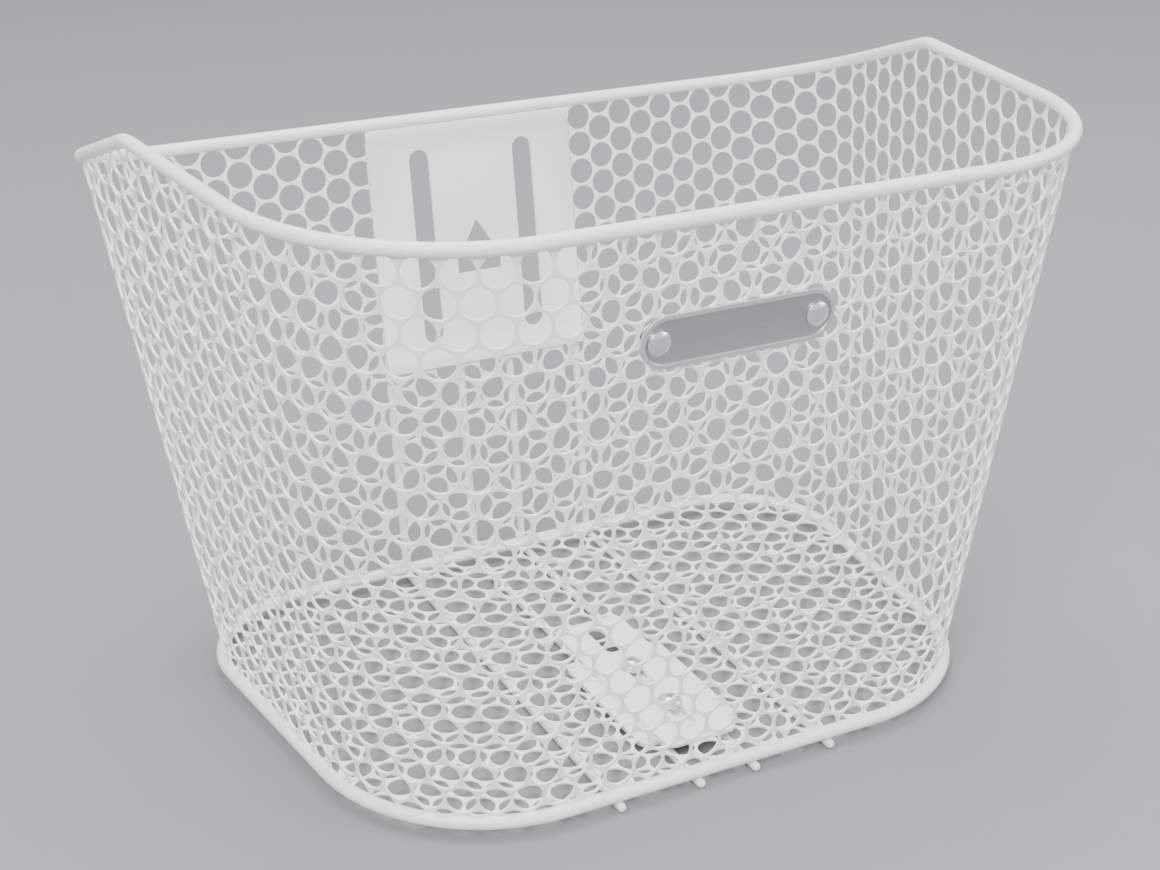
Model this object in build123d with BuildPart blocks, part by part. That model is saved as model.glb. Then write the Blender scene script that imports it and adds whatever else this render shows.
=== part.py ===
from build123d import *

import os
from math import asin, ceil, cos, floor, radians, sin, sqrt, tan

os.makedirs("parts", exist_ok=True)

# A front basket for a bicycle. X runs across the basket, +Y points back towards the bicycle, +Z up.
# The origin is on the ground in the middle of the basket's outer box. Millimetres.

# --- overall form: faces are named where wires' centre lines and the sheet's middle lie
rim_depth = 247.0  # front rim to back rim
front_height = 223.0  # rim above the base ring, at the front
peak_height = 228.0  # rim above the base ring, at the two raised points
back_height = 196.0  # rim above the base ring, at the back
peak_to_back = 94.0  # raised points forward of the back rim
base_front_width = 255.0  # across the side faces, where they meet the front face
base_back_width = 298.0  # across the side faces, where they meet the back face
front_lean = 5.7  # degrees outwards from upright
side_lean = 7.05
back_lean = 8.85
base_front_radius = 68.0
base_back_radius = 44.5
rim_front_radius = 78.0
rim_back_radius = 45.0
peak_radius = 25.0

# --- wires
rim_wire_d = 5.0
ring_wire_d = 5.2
ring_offset = 1.2  # ring's centre line outside the sheet
support_wire_d = 3.4
support_inner_x = 12.0
support_outer_x = 45.6
support_top = 108.0  # ends behind the mounting plate, measured up the back face
support_end = 2.1  # middle of the rounded front ends, forward of the ring's centre line

# --- perforated sheet
sheet = 1.0
hole_d = 10.9
pitch = 12.0
wall_column_shift = 1.2  # one column of holes, right of the middle of the back
wall_row_shift = 4.6  # its holes, above the base along the back face
base_column_shift = 0.0
base_row_shift = 4.0
corner_steps = 4  # flat facets in each rounded corner of the wall

# --- mounting plate, measured up the back face from the base plane
plate_width = 95.0
plate_sheet = 1.5
plate_bottom = 90.0
plate_lower_step = 96.0
plate_upper_step = 191.0
step_run = 2.0  # height taken by each step
window_gap = 0.3  # between the plate's side edges and the wall sheet
slot_width = 9.0
slot_bottom = 101.0
slot_top = 185.4
slot_x = 24.2
cutout_bottom = 129.6
cutout_shoulder = 135.5
cutout_apex = 152.5
cutout_half_width = 10.3

# --- clamp in the bottom
clamp_length = 98.0
clamp_width = 31.0
clamp_sheet = 1.5
clamp_front_gap = 15.0  # clamp plate's front edge behind the front base line
clamp_corner = 4.0
clamp_slot_width = 6.4
clamp_slot_length = 21.0
bolt_spacing = 31.0
bolt_from_slot = 7.0  # bolts sit near the back ends of their slots
front_bolt_gap = 41.5  # front bolt behind the front base line
backing_length = 66.0
backing_width = 44.0
bolt_d = 5.0
fastener_gap = 0.25  # round bolts and rivets, in the sheets that they go through
bolt_head_d = 9.5
bolt_head_height = 2.9
hex_key = 3.0
hex_key_depth = 2.0
washer_d = 10.0
washer_sheet = 1.0
nut_across_flats = 8.0
nut_height = 2.6

# --- badge on the front face, measured up the front face from the base plane
badge_length = 74.0
badge_height = 19.0
badge_sheet = 1.2
badge_rim = 1.6
badge_field_depth = 0.5
badge_x = -13.0
badge_up = 183.3
rivet_spacing = 60.2
rivet_head_d = 8.6
rivet_head_height = 1.8
rivet_shank_d = 3.2
rivet_back_d = 14.0
rivet_back_height = 0.9

# --- domed heads
dome_edge_share = 0.3  # upright edge below the dome, as a share of the head's height

# --- levels
support_z = support_wire_d / 2
ring_z = support_wire_d + ring_wire_d / 2
base_z = ring_z  # the bottom sheet's middle, level with the ring's centre line

# --- the four leaning faces, from the rim's depth down to the base
front_y = -rim_depth / 2 + front_height * tan(radians(front_lean))
back_y = rim_depth / 2 - back_height * tan(radians(back_lean))
side_taper = (base_back_width - base_front_width) / 2 / (back_y - front_y)
side_spread = tan(radians(side_lean)) * sqrt(1 + side_taper**2)


def side_x(y, height):
    """Half width between the side faces at y, a height above the base plane."""
    return base_front_width / 2 + (y - front_y) * side_taper + height * side_spread


def side_point(y, height, side=1):
    return Vector(side * side_x(y, height), y, base_z + height)


# --- rim and base outlines, their sharp corners first
rim_front_y = -rim_depth / 2
rim_back_y = rim_depth / 2
peak_y = rim_back_y - peak_to_back
rim_corners = [
    side_point(rim_back_y, back_height, -1),
    side_point(rim_back_y, back_height),
    side_point(peak_y, peak_height),
    side_point(rim_front_y, front_height),
    side_point(rim_front_y, front_height, -1),
    side_point(peak_y, peak_height, -1),
]
rim_radii = [rim_back_radius, rim_back_radius, peak_radius] + [rim_front_radius] * 2 + [peak_radius]
base_corners = [
    side_point(back_y, 0, -1),
    side_point(back_y, 0),
    side_point(front_y, 0),
    side_point(front_y, 0, -1),
]
base_radii = [base_back_radius] * 2 + [base_front_radius] * 2


def round_corner(before, corner, after, radius):
    """Start, middle and end of the arc that rounds a corner between two runs."""
    to_before = (before - corner).normalized()
    to_after = (after - corner).normalized()
    half_angle = radians(to_before.get_angle(to_after) / 2)
    setback = radius / tan(half_angle)
    bisector = (to_before + to_after).normalized()
    middle = corner + bisector * (radius / sin(half_angle) - radius)
    return corner + to_before * setback, middle, corner + to_after * setback


def corner_arcs(corners, radii):
    count = len(corners)
    return [
        round_corner(corners[i - 1], corners[i], corners[(i + 1) % count], radii[i])
        for i in range(count)
    ]


rim_arcs = corner_arcs(rim_corners, rim_radii)
base_arcs = corner_arcs(base_corners, base_radii)
left_back_rim, right_back_rim, right_peak, right_front_rim, left_front_rim, left_peak = rim_arcs
left_back_base, right_back_base, right_front_base, left_front_base = base_arcs

rim_r = rim_wire_d / 2
ring_r = ring_wire_d / 2


def arc_points(arc, count):
    """Points spaced evenly along an arc given by its start, middle and end."""
    edge = ThreePointArc(*arc, mode=Mode.PRIVATE)
    return [edge @ (i / count) for i in range(count + 1)]


def ring_gap(outward):
    """How far up a leaning panel starts, so that its outer face just meets the base ring."""
    lean_sin = -outward.Z
    clear = ring_offset * sqrt(1 - lean_sin**2) - sheet / 2
    return ring_offset * lean_sin + sqrt(ring_r**2 - clear**2)


def panel_corner(end, other_end, beside, gap):
    """Corner of a panel at one end of a rising line: a gap inside the edge that leads to beside, and
    a little beyond the line, where the mitre cuts it."""
    inward = (other_end - end).normalized()
    edge = (beside - end).normalized()
    return end + inward * gap / sqrt(1 - inward.dot(edge) ** 2) - edge * sheet


def corner_lines(base_arc, rim_arc, steps):
    return list(zip(arc_points(base_arc, steps), arc_points(rim_arc, steps)))


# --- the wall laid flat: its rising lines are rolled out one after the other from the back's middle
right_back_lines = corner_lines(right_back_base, right_back_rim, corner_steps)
right_front_lines = corner_lines(right_front_base, right_front_rim, corner_steps)
left_front_lines = corner_lines(left_front_base, left_front_rim, corner_steps)
left_back_lines = corner_lines(left_back_base, left_back_rim, corner_steps)
back_middle = (Vector(0, back_y, base_z), Vector(0, rim_back_y, base_z + back_height))
half = corner_steps // 2
round_lines = [back_middle] + right_back_lines + right_front_lines + left_front_lines
round_lines += left_back_lines[: half + 1]
left_lines = [back_middle] + left_back_lines[: half - 1 : -1]


def apex(origin, point, distance_from_origin, distance_from_point, turn):
    """Third corner of a flat triangle, on the side of the run from origin to point given by turn."""
    run = point - origin
    along = (distance_from_origin**2 - distance_from_point**2 + run.length**2) / (2 * run.length)
    across = sqrt(max(distance_from_origin**2 - along**2, 0))
    direction = run.normalized()
    return origin + direction * along + Vector(-direction.Y, direction.X) * across * turn


def unroll(lines, turn):
    """Flat places of each line's two ends. turn is -1 to roll out to the right and 1 to the left."""
    low, high = lines[0]
    flat = [(Vector(0, 0), Vector(0, (high - low).length))]
    for (low, high), (next_low, next_high) in zip(lines, lines[1:]):
        flat_low, flat_high = flat[-1]
        new_low = apex(flat_low, flat_high, (next_low - low).length, (next_low - high).length, turn)
        new_high = apex(
            new_low, flat_high, (next_high - next_low).length, (next_high - high).length, turn
        )
        flat.append((new_low, new_high))
    return flat


def side_of(point, line):
    low, high = line
    return (high.X - low.X) * (point.Y - low.Y) - (high.Y - low.Y) * (point.X - low.X)


def lattice(low, high, column_shift, row_shift):
    """Hole centres of the staggered perforation between two corners of a box."""
    column_pitch = pitch * sqrt(3) / 2
    first_column = ceil((low.X - column_shift) / column_pitch)
    last_column = floor((high.X - column_shift) / column_pitch)
    for column in range(first_column, last_column + 1):
        stagger = row_shift + (column % 2) * pitch / 2
        first_row = ceil((low.Y - stagger) / pitch)
        last_row = floor((high.Y - stagger) / pitch)
        for row in range(first_row, last_row + 1):
            yield Vector(column_shift + column * column_pitch, stagger + row * pitch)


def rim_height(y):
    """Rim above the base plane: up to the raised points in one plane, down to the back in another."""
    if y < peak_y:
        rise = (peak_height - front_height) / (peak_y - rim_front_y)
        return front_height + (y - rim_front_y) * rise
    return peak_height - (y - peak_y) * (peak_height - back_height) / peak_to_back


def facing(line, next_line):
    """Directions of the strip between two rising lines: up the first, across to the next, outward."""
    low, high = line
    up = (high - low).normalized()
    across = next_line[0] + next_line[1] - low - high
    across = (across - up * across.dot(up)).normalized()
    return up, across, up.cross(across)


def strip_holes(line, next_line, flat_line, next_flat, turn):
    """Hole centres in the strip between two rising lines."""
    up, across, _ = facing(line, next_line)
    flat_low, flat_high = flat_line
    flat_up = (flat_high - flat_low).normalized()
    flat_across = Vector(-flat_up.Y, flat_up.X) * turn
    ends = [*flat_line, *next_flat]
    box_low = Vector(min(end.X for end in ends) - pitch, min(end.Y for end in ends) - pitch)
    box_high = Vector(max(end.X for end in ends) + pitch, max(end.Y for end in ends) + pitch)
    holes = []
    for centre in lattice(box_low, box_high, wall_column_shift, wall_row_shift):
        if side_of(centre, flat_line) * turn >= 0 > side_of(centre, next_flat) * turn:
            offset = centre - flat_low
            place = line[0] + up * offset.dot(flat_up) + across * offset.dot(flat_across)
            if -hole_d / 2 < place.Z - base_z < rim_height(place.Y) + hole_d / 2:
                holes.append(place)
    return holes


def wall_holes(lines, turn):
    flat = unroll(lines, turn)
    return [
        strip_holes(lines[i], lines[i + 1], flat[i], flat[i + 1], turn) for i in range(len(lines) - 1)
    ]


# The sheet's two edges meet in the middle of the left back corner.
wall_lines = left_lines[:0:-1] + round_lines
wall_strips = wall_holes(left_lines, 1)[::-1] + wall_holes(round_lines, -1)

# --- faces that carry details
back_face = Plane(
    origin=(0, back_y, base_z),
    x_dir=(1, 0, 0),
    z_dir=(0, -cos(radians(back_lean)), sin(radians(back_lean))),
)  # its y runs up the face and its z into the basket
front_face = Plane(
    origin=(0, front_y, base_z),
    x_dir=(1, 0, 0),
    z_dir=(0, -cos(radians(front_lean)), -sin(radians(front_lean))),
)  # its y runs up the face and its z out of the basket
back_slope = back_height / cos(radians(back_lean))
rivet_places = [(badge_x - rivet_spacing / 2, badge_up), (badge_x + rivet_spacing / 2, badge_up)]
clamp_slot_places = [
    front_y + front_bolt_gap - bolt_from_slot + index * bolt_spacing for index in range(3)
]
bolt_places = [(0, y + bolt_from_slot) for y in clamp_slot_places[:2]]


def near_line(place, line):
    low, high = line
    return (place - low).cross((high - low).normalized()).length < hole_d / 2


def panel_holes(first, last):
    """Holes of the panel between two rising lines, with those that cross in from its neighbours."""
    holes = [hole for strip in wall_strips[first:last] for hole in strip]
    if first > 0:
        holes += [hole for hole in wall_strips[first - 1] if near_line(hole, wall_lines[first])]
    if last < len(wall_strips):
        holes += [hole for hole in wall_strips[last] if near_line(hole, wall_lines[last])]
    return holes


def finish(piece, name):
    piece.part.label = name
    export_step(piece.part, f"parts/{name}.step")


def flat_place(face, point):
    place = face.to_local_coords(point)
    return place.X, place.Y


def panel_facing(index):
    """Directions of one strip of the wall. Its two outermost strips are neighbours at the seam."""
    index %= len(wall_strips)
    return facing(wall_lines[index], wall_lines[index + 1])


def mitre(index):
    """Plane halfway between the two panels that meet at a rising line, facing the later one."""
    up, _, outward = panel_facing(index)
    middle = outward + panel_facing(index - 1)[2]
    return Plane(origin=wall_lines[index][0], z_dir=middle.cross(up))


def flat_panel(name, corners, holes, outward, mitres=(), rivet_holes=()):
    """A flat stretch of the wall. corners run up its first end and down its last."""
    face = Plane(origin=corners[0], x_dir=corners[-1] - corners[0], z_dir=outward)
    with BuildPart() as panel:
        with BuildSketch(face):
            with BuildLine():
                Polyline(*[flat_place(face, corner) for corner in corners], close=True)
            make_face()
            with Locations(*[flat_place(face, hole) for hole in holes]):
                Circle(hole_d / 2, mode=Mode.SUBTRACT)
        extrude(amount=sheet / 2, both=True)
        for cut in rivet_holes:
            extrude(cut, amount=sheet, both=True, mode=Mode.SUBTRACT)
        for plane in mitres:
            split(bisect_by=plane, keep=Keep.TOP)
    finish(panel, name)


def wall_panel(name, index, peaks=(), rivet_holes=()):
    """The panel between two rising lines, from the base ring to the rim wire."""
    outward = panel_facing(index)[2]
    (low_a, high_a), (low_b, high_b) = wall_lines[index], wall_lines[index + 1]
    corners = [
        panel_corner(low_a, high_a, low_b, ring_gap(outward)),
        panel_corner(high_a, low_a, [*peaks, high_b][0], rim_r),
        *[peak - Vector(0, 0, rim_r) for peak in peaks],
        panel_corner(high_b, low_b, [high_a, *peaks][-1], rim_r),
        panel_corner(low_b, high_b, low_a, ring_gap(outward)),
    ]
    mitres = [mitre(index), -mitre((index + 1) % len(wall_strips))]
    flat_panel(name, corners, panel_holes(index, index + 1), outward, mitres, rivet_holes)


def support_wire(name, x):
    """Down the outside of the back face, round under the base ring and forward beneath it."""
    back_ring_y = back_y + ring_offset
    reach = ring_z - support_z
    top = back_face.from_local_coords(Vector(x, support_top, -(plate_sheet + support_wire_d) / 2))
    bend = Vector(x, back_ring_y + reach / cos(radians(back_lean)), support_z)
    end = Vector(x, front_y - ring_offset - support_end, support_z)
    with BuildPart() as wire:
        with BuildLine() as run:
            FilletPolyline(top, bend, end, radius=reach)
        with BuildSketch(Plane(origin=run.line @ 0, z_dir=run.line % 0)):
            Circle(support_wire_d / 2)
        sweep(path=run.line)
        with Locations(end):
            Sphere(support_wire_d / 2)
    finish(wire, name)


# --- wall: flat faces, the back one in three round the mounting plate, and facets round each corner
with BuildSketch(front_face) as rivet_holes:
    with Locations(*rivet_places):
        Circle(rivet_shank_d / 2 + fastener_gap)

back_start = half
back_end = back_start + 2
right_start = back_end + corner_steps
front_start = right_start + 1 + corner_steps
left_start = front_start + 1 + corner_steps
wall_panel("wall_right", right_start, peaks=[right_peak[1]])
wall_panel("wall_front", front_start, rivet_holes=[rivet_holes.sketch])
wall_panel("wall_left", left_start, peaks=[left_peak[1]])
for step in range(corner_steps):
    wall_panel(f"wall_corner_back_right_{step + 1}", back_end + step)
    wall_panel(f"wall_corner_front_right_{step + 1}", right_start + 1 + step)
    wall_panel(f"wall_corner_front_left_{step + 1}", front_start + 1 + step)
for step in range(half):
    wall_panel(f"wall_corner_back_left_{step + 1}", left_start + 1 + step)
    wall_panel(f"wall_corner_back_left_{half + step + 1}", step)

window_x = plate_width / 2 + window_gap
window_low = plate_lower_step - step_run / 2
back_low = ring_gap(-back_face.z_dir)
back_high = back_slope - rim_r
back_holes = panel_holes(back_start, back_end)


def on_back(x, up):
    return back_face.from_local_coords(Vector(x, up, 0))


def back_side(name, side, line_index, mitres):
    """The back face beside the mounting plate, on one side."""
    low, high = wall_lines[line_index]
    end_x = [side * (abs(low.X) + sheet), side * (abs(high.X) + sheet)]
    corners = [
        on_back(end_x[0], back_low),
        on_back(end_x[1], back_high),
        on_back(side * window_x, back_high),
        on_back(side * window_x, back_low),
    ]
    holes = [hole for hole in back_holes if hole.X * side > window_x - hole_d / 2]
    flat_panel(name, corners, holes, -back_face.z_dir, mitres)


back_side("wall_back_left", -1, back_start, [mitre(back_start)])
back_side("wall_back_right", 1, back_end, [-mitre(back_end)])
lower_corners = [
    on_back(-window_x, back_low),
    on_back(-window_x, window_low),
    on_back(window_x, window_low),
    on_back(window_x, back_low),
]
lower_top = on_back(0, window_low).Z
lower_holes = [
    hole
    for hole in back_holes
    if abs(hole.X) < window_x + hole_d / 2 and hole.Z < lower_top + hole_d / 2
]
flat_panel("wall_back_lower", lower_corners, lower_holes, -back_face.z_dir)

# --- rim wire
with BuildPart() as rim_wire:
    with BuildLine() as rim_path:
        FilletPolyline(*rim_corners, radius=rim_radii, close=True)
    with BuildSketch(Plane(origin=rim_path.line @ 0, z_dir=rim_path.line % 0)):
        Circle(rim_r)
    sweep(path=rim_path.line)
finish(rim_wire, "rim_wire")

# --- base ring and bottom sheet
with BuildSketch(Plane.XY.offset(base_z)) as base_outline:
    with BuildLine():
        FilletPolyline(*[(corner.X, corner.Y) for corner in base_corners], radius=base_radii, close=True)
    make_face()
with BuildSketch(Plane.XY.offset(base_z)) as ring_outline:
    add(base_outline.sketch)
    offset(amount=ring_offset)
ring_path = ring_outline.sketch.face().outer_wire()
with BuildPart() as base_ring:
    with BuildSketch(Plane(origin=ring_path @ 0, z_dir=ring_path % 0)):
        Circle(ring_r)
    sweep(path=ring_path)
finish(base_ring, "base_ring")

base_low = Vector(-base_back_width / 2, front_y)
base_high = Vector(base_back_width / 2, back_y)
base_holes = [
    (hole.X, hole.Y)
    for hole in lattice(base_low, base_high, base_column_shift, base_row_shift)
    if abs(hole.X) < side_x(hole.Y, 0) + hole_d / 2
]
with BuildPart() as bottom_sheet:
    with BuildSketch(Plane.XY.offset(base_z)):
        add(base_outline.sketch)
        offset(amount=ring_offset - ring_r)
        with Locations(*base_holes):
            Circle(hole_d / 2, mode=Mode.SUBTRACT)
        with Locations(*bolt_places):
            Circle(bolt_d / 2 + fastener_gap, mode=Mode.SUBTRACT)
    extrude(amount=sheet / 2, both=True)
finish(bottom_sheet, "bottom_sheet")

# --- support wires
support_places = [-support_outer_x, -support_inner_x, support_inner_x, support_outer_x]
for index, x in enumerate(support_places):
    support_wire(f"support_wire_{index + 1}", x)

# --- mounting plate: main panel level with the wall, upper and lower strips stepped inside it
strip_in = (sheet + plate_sheet) / 2
plate_top = back_slope - sqrt(rim_r**2 - (strip_in - plate_sheet / 2) ** 2)
profile = [
    (plate_bottom, strip_in),
    (plate_lower_step - step_run / 2, strip_in),
    (plate_lower_step + step_run / 2, 0),
    (plate_upper_step - step_run / 2, 0),
    (plate_upper_step + step_run / 2, strip_in),
    (plate_top, strip_in),
]
with BuildPart() as mounting_plate:
    with BuildSketch(Plane(origin=back_face.origin, x_dir=back_face.y_dir, z_dir=(1, 0, 0))):
        with BuildLine():
            inner_edge = [(up, inward + plate_sheet / 2) for up, inward in profile]
            outer_edge = [(up, inward - plate_sheet / 2) for up, inward in profile]
            Polyline(*inner_edge, *outer_edge[::-1], close=True)
        make_face()
    extrude(amount=plate_width / 2, both=True)
    with BuildSketch(back_face):
        with Locations((-slot_x, (slot_bottom + slot_top) / 2), (slot_x, (slot_bottom + slot_top) / 2)):
            SlotOverall(slot_top - slot_bottom, slot_width, rotation=90)
        with BuildLine():
            Polyline(
                (-cutout_half_width, cutout_bottom),
                (cutout_half_width, cutout_bottom),
                (cutout_half_width, cutout_shoulder),
                (0, cutout_apex),
                (-cutout_half_width, cutout_shoulder),
                close=True,
            )
        make_face()
    extrude(amount=plate_sheet * 2, both=True, mode=Mode.SUBTRACT)
finish(mounting_plate, "mounting_plate")

# --- clamp plate on the bottom sheet, backing plate between the sheet and the support wires
clamp_z = base_z + sheet / 2
clamp_y = front_y + clamp_front_gap + clamp_length / 2
with BuildPart() as clamp_plate:
    with BuildSketch(Plane.XY.offset(clamp_z)):
        with Locations((0, clamp_y)):
            RectangleRounded(clamp_width, clamp_length, clamp_corner)
        with Locations(*[(0, y) for y in clamp_slot_places]):
            SlotOverall(clamp_slot_length, clamp_slot_width, rotation=90, mode=Mode.SUBTRACT)
    extrude(amount=clamp_sheet)
finish(clamp_plate, "clamp_plate")

backing_low = support_z + support_wire_d / 2
backing_y = (bolt_places[0][1] + bolt_places[1][1]) / 2
with BuildPart() as backing_plate:
    with BuildSketch(Plane.XY.offset(backing_low)):
        with Locations((0, backing_y)):
            RectangleRounded(backing_width, backing_length, clamp_corner)
        with Locations(*bolt_places):
            Circle(bolt_d / 2 + fastener_gap, mode=Mode.SUBTRACT)
    extrude(amount=base_z - sheet / 2 - backing_low)
finish(backing_plate, "backing_plate")

# --- bolts, washers and nuts, a pair of each
washer_z = clamp_z + clamp_sheet
head_z = washer_z + washer_sheet
nut_z = backing_low - nut_height


def dome_outline(place, diameter, height):
    """Half the outline of a domed head that stands on a plane."""
    edge = height * dome_edge_share
    rise = height - edge
    dome_radius = ((diameter / 2) ** 2 + rise**2) / (2 * rise)
    half_turn = asin(diameter / 2 / dome_radius) / 2
    middle = (dome_radius * sin(half_turn), height - dome_radius * (1 - cos(half_turn)))
    with BuildSketch(Plane(origin=place.origin, x_dir=place.x_dir, z_dir=-place.y_dir)) as outline:
        with BuildLine():
            Polyline((0, height), (0, 0), (diameter / 2, 0), (diameter / 2, edge))
            ThreePointArc((diameter / 2, edge), middle, (0, height))
        make_face()
    return outline.sketch


with BuildPart() as clamp_bolts:
    for x, y in bolt_places:
        head = Plane((x, y, head_z))
        outline = dome_outline(head, bolt_head_d, bolt_head_height)
        revolve(outline, axis=Axis(head.origin, head.z_dir))
        with BuildSketch(Plane((x, y, nut_z))):
            Circle(bolt_d / 2)
        extrude(amount=head_z - nut_z)
        with BuildSketch(Plane((x, y, head_z + bolt_head_height))):
            RegularPolygon(hex_key / 2, 6, major_radius=False)
        extrude(amount=-hex_key_depth, mode=Mode.SUBTRACT)
finish(clamp_bolts, "clamp_bolts")

with BuildPart() as clamp_washers:
    with BuildSketch(Plane.XY.offset(washer_z)):
        with Locations(*bolt_places):
            Circle(washer_d / 2)
            Circle(bolt_d / 2, mode=Mode.SUBTRACT)
    extrude(amount=washer_sheet)
finish(clamp_washers, "clamp_washers")

with BuildPart() as clamp_nuts:
    with BuildSketch(Plane.XY.offset(nut_z)):
        with Locations(*bolt_places):
            RegularPolygon(nut_across_flats / 2, 6, major_radius=False)
            Circle(bolt_d / 2, mode=Mode.SUBTRACT)
    extrude(amount=nut_height)
finish(clamp_nuts, "clamp_nuts")

# --- badge: an obround plate with a raised edge round a sunk field, held by two rivets
badge_z = sheet / 2
field_z = badge_z + badge_sheet - badge_field_depth
with BuildPart() as badge:
    with BuildSketch(front_face.offset(badge_z)):
        with Locations((badge_x, badge_up)):
            SlotOverall(badge_length, badge_height)
        with Locations(*rivet_places):
            Circle(rivet_shank_d / 2, mode=Mode.SUBTRACT)
    extrude(amount=badge_sheet)
    with BuildSketch(front_face.offset(field_z)):
        with Locations((badge_x, badge_up)):
            SlotOverall(badge_length - 2 * badge_rim, badge_height - 2 * badge_rim)
    extrude(amount=badge_field_depth, mode=Mode.SUBTRACT)
finish(badge, "badge")

with BuildPart() as badge_rivets:
    for x, y in rivet_places:
        head = Plane(
            origin=front_face.from_local_coords(Vector(x, y, field_z)),
            x_dir=(1, 0, 0),
            z_dir=front_face.z_dir,
        )
        outline = dome_outline(head, rivet_head_d, rivet_head_height)
        revolve(outline, axis=Axis(head.origin, head.z_dir))
    rivet_length = field_z + sheet / 2 + rivet_back_height
    with BuildSketch(front_face.offset(field_z)):
        with Locations(*rivet_places):
            Circle(rivet_shank_d / 2)
    extrude(amount=-rivet_length)
finish(badge_rivets, "badge_rivets")

with BuildPart() as rivet_backs:
    with BuildSketch(front_face.offset(-sheet / 2)):
        with Locations(*rivet_places):
            Circle(rivet_back_d / 2)
            Circle(rivet_shank_d / 2, mode=Mode.SUBTRACT)
    extrude(amount=-rivet_back_height)
finish(rivet_backs, "rivet_backs")
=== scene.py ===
from math import ceil, cos, floor, pi, radians, sin, sqrt, tan

import bmesh
import bpy
import numpy as np
from mathutils import Matrix, Vector


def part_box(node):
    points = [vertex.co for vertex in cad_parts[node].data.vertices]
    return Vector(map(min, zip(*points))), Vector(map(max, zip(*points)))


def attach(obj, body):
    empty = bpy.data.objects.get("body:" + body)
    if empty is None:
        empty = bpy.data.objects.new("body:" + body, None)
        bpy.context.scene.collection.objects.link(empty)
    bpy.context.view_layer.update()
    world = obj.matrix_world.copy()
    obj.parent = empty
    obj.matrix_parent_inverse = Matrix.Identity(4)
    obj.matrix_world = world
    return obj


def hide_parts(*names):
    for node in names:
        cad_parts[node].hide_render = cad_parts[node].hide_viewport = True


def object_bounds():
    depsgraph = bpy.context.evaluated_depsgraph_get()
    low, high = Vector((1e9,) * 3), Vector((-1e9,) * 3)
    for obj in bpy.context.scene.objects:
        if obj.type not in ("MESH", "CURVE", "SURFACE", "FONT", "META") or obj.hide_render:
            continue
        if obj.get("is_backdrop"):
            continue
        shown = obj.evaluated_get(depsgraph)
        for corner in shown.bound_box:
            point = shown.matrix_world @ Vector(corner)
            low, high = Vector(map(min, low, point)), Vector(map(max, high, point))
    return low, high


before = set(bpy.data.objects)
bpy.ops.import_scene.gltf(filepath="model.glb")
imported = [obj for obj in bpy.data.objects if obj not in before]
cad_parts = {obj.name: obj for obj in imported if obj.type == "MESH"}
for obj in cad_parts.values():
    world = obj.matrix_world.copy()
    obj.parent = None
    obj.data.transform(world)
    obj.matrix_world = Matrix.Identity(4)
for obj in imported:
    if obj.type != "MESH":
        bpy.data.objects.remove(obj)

cad_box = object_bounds()
MM = 0.001

# --- the basket's own sizes, millimetres: lines where wires' centres and the sheet's middle lie
RIM_DEPTH = 247.0
FRONT_HEIGHT = 223.0
PEAK_HEIGHT = 228.0
BACK_HEIGHT = 196.0
PEAK_TO_BACK = 94.0
BASE_FRONT_WIDTH = 255.0
BASE_BACK_WIDTH = 298.0
FRONT_LEAN = radians(5.7)
SIDE_LEAN = radians(7.05)
BACK_LEAN = radians(8.85)
BASE_FRONT_RADIUS = 68.0
BASE_BACK_RADIUS = 44.5
RIM_FRONT_RADIUS = 78.0
RIM_BACK_RADIUS = 45.0
PEAK_RADIUS = 25.0
RIM_WIRE_D = 5.0
RING_WIRE_D = 5.2
RING_OFFSET = 1.2
SUPPORT_WIRE_D = 3.4
SUPPORT_TOP = 108.0
SUPPORT_X = (-45.6, -12.0, 12.0, 45.6)
SUPPORT_END = 2.1
SHEET = 1.0
PLATE_SHEET = 1.5
HOLE_D = 10.9
PITCH = 12.0
HOLE_EDGE = 0.22
WALL_COLUMN_SHIFT = 1.2
WALL_ROW_SHIFT = 4.6
BASE_COLUMN_SHIFT = 0.0
BASE_ROW_SHIFT = 4.0
CORNER_STEPS = 16
WINDOW_HALF = 47.8
WINDOW_LOW = 95.0

# --- how finely the meshes are drawn, and small seats
WIRE_ARC_STEPS = 24
BEND_STEPS = 10
RIM_SIDES = 28
RING_SIDES = 24
SUPPORT_SIDES = 20
SHORTEST_EDGE = 1e-6
OUTER_HOLE_SHARE = 0.8  # of the pitch: how far outside the edge a hole's centre may lie
RING_SEAT = 0.6  # how far the bottom's edge runs into the ring's inner side
BADGE_RIM = 0.25
BADGE_BACK = 0.3

# --- camera, metres and millimetres of lens
STANDPOINT = (-0.3232, -0.6066, 0.4070)
LOOKING = (0.4200, 0.8105, -0.4083)
RIGHTWARD = (0.8882, -0.4594, 0.0016)
SENSOR_WIDTH = 36.0
LENS = 58.62

BASE_Z = SUPPORT_WIRE_D + RING_WIRE_D / 2
FRONT_Y = -RIM_DEPTH / 2 + FRONT_HEIGHT * tan(FRONT_LEAN)
BACK_Y = RIM_DEPTH / 2 - BACK_HEIGHT * tan(BACK_LEAN)
RIM_FRONT_Y = -RIM_DEPTH / 2
RIM_BACK_Y = RIM_DEPTH / 2
PEAK_Y = RIM_BACK_Y - PEAK_TO_BACK
SIDE_TAPER = (BASE_BACK_WIDTH - BASE_FRONT_WIDTH) / 2 / (BACK_Y - FRONT_Y)
SIDE_SPREAD = tan(SIDE_LEAN) * sqrt(1 + SIDE_TAPER**2)


# ---------------------------------------------------------------- outlines

def side_point(y, height, side=1):
    half = BASE_FRONT_WIDTH / 2 + (y - FRONT_Y) * SIDE_TAPER + height * SIDE_SPREAD
    return Vector((side * half, y, BASE_Z + height))


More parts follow.
